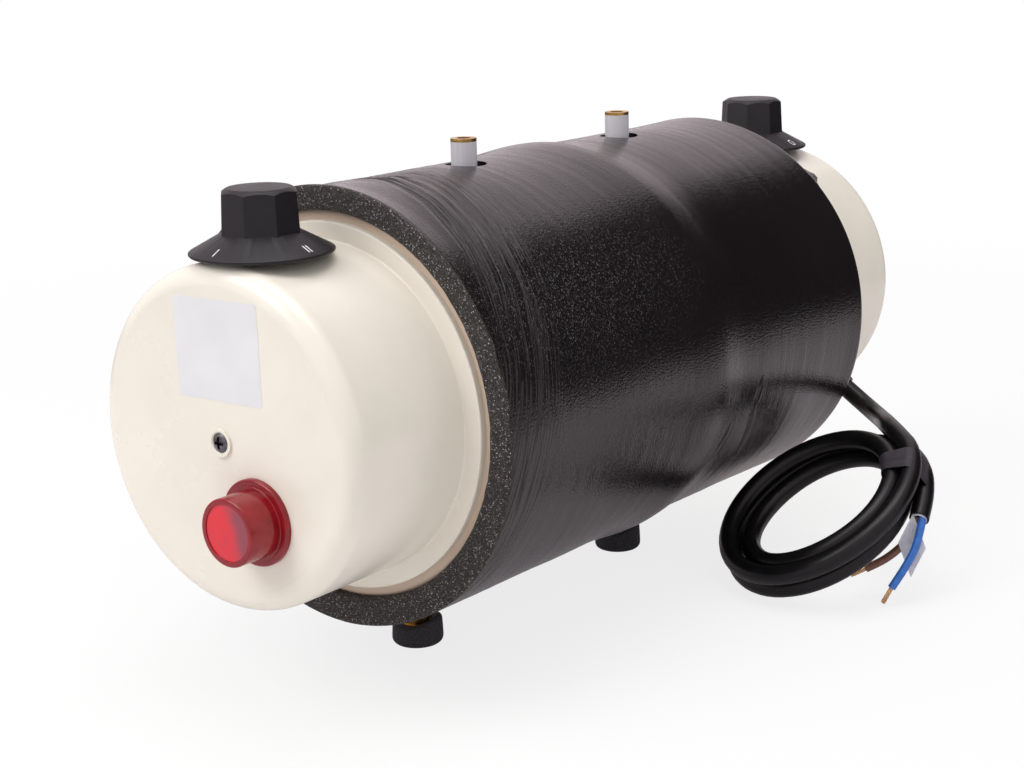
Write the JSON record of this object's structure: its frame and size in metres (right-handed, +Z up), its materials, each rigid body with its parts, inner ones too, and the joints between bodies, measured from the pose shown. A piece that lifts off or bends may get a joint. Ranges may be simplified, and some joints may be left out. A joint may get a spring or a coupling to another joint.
{
  "type": "water heater",
  "caption": "Small pressureless electric water heater: foam-jacketed round tank lying on feet, cream end caps, dials, red lamp, hose spouts and a coiled mains flex",
  "frame": {"origin": "on the floor under the middle of the body's box, cord left out", "axes": "+Z up, +Y from the front cap to the rear cap along the tank's axis, +X to the right seen from the front"},
  "size_m": [0.2254, 0.3865, 0.1914],
  "materials": {
    "tank_plastic": "moulded, satin",
    "pipe_plastic": "extruded, translucent white",
    "brass": "turned",
    "heater_steel": "drawn tube",
    "seal_rubber": "pressed",
    "copper": "drawn",
    "foam": "closed-cell foam with a smooth wrinkled skin",
    "cap_plastic": "moulded, satin gloss",
    "dark_steel": "blackened",
    "switch_plastic": "moulded",
    "plated_steel": "zinc plated",
    "dial_plastic": "moulded, fine grain",
    "lens_red": "clear red moulding",
    "brown_plastic": "moulded",
    "flex_pvc": "smooth sheath",
    "core_blue": "smooth insulation",
    "core_brown": "smooth insulation",
    "foot_rubber": "cellular rubber"
  },
  "bodies": {
    "boiler": {"tank_front": "tank_plastic", "tank_rear": "tank_plastic", "inlet_pipe": "pipe_plastic", "outlet_pipe": "pipe_plastic", "inlet_sleeve": "brass", "outlet_sleeve": "brass", "left_heater": "heater_steel", "right_heater": "heater_steel", "left_heater_plug": "brass", "right_heater_plug": "brass", "left_heater_seal": "seal_rubber", "right_heater_seal": "seal_rubber", "thermowell": "brass", "thermostat_bulb": "copper", "capillary": "copper", "foam_jacket": "foam", "front_cap": "cap_plastic", "rear_cap": "cap_plastic", "front_cap_screw": "dark_steel", "rear_cap_screw": "dark_steel", "front_pillar": "brass", "rear_pillar": "brass", "front_switch": "switch_plastic", "front_switch_nut": "plated_steel", "rear_thermostat": "plated_steel", "rear_thermostat_nut": "plated_steel", "lamp_lens": "lens_red", "lamp_holder": "switch_plastic", "lamp_nut": "dial_plastic", "thermal_cutout": "brown_plastic", "cutout_strap": "plated_steel", "cutout_screws": "plated_steel", "terminal_block": "switch_plastic", "terminal_screws": "plated_steel", "flex_grommet": "flex_pvc", "grommet_nut": "dial_plastic", "flex_lead": "flex_pvc", "flex_coil": "flex_pvc", "flex_tail": "flex_pvc", "coil_tape": "flex_pvc", "blue_core": "core_blue", "brown_core": "core_brown", "blue_strands": "copper", "brown_strands": "copper", "front_foot": "foot_rubber", "rear_foot": "foot_rubber", "front_foot_pillar": "brass", "rear_foot_pillar": "brass"},
    "front_control": {"front_dial": "dial_plastic", "front_spindle": "plated_steel"},
    "rear_control": {"rear_dial": "dial_plastic", "rear_spindle": "plated_steel"}
  },
  "joints": [
    {"name": "front_dial_turn", "type": "hinge", "parent": "boiler", "child": "front_control", "pos_m": [0, -0.1531, 0.164], "axis": [0, 0, 1], "range_deg": [-90, 90]},
    {"name": "rear_dial_turn", "type": "hinge", "parent": "boiler", "child": "rear_control", "pos_m": [0, 0.1681, 0.164], "axis": [0, 0, 1], "range_deg": [-90, 90]}
  ]
}
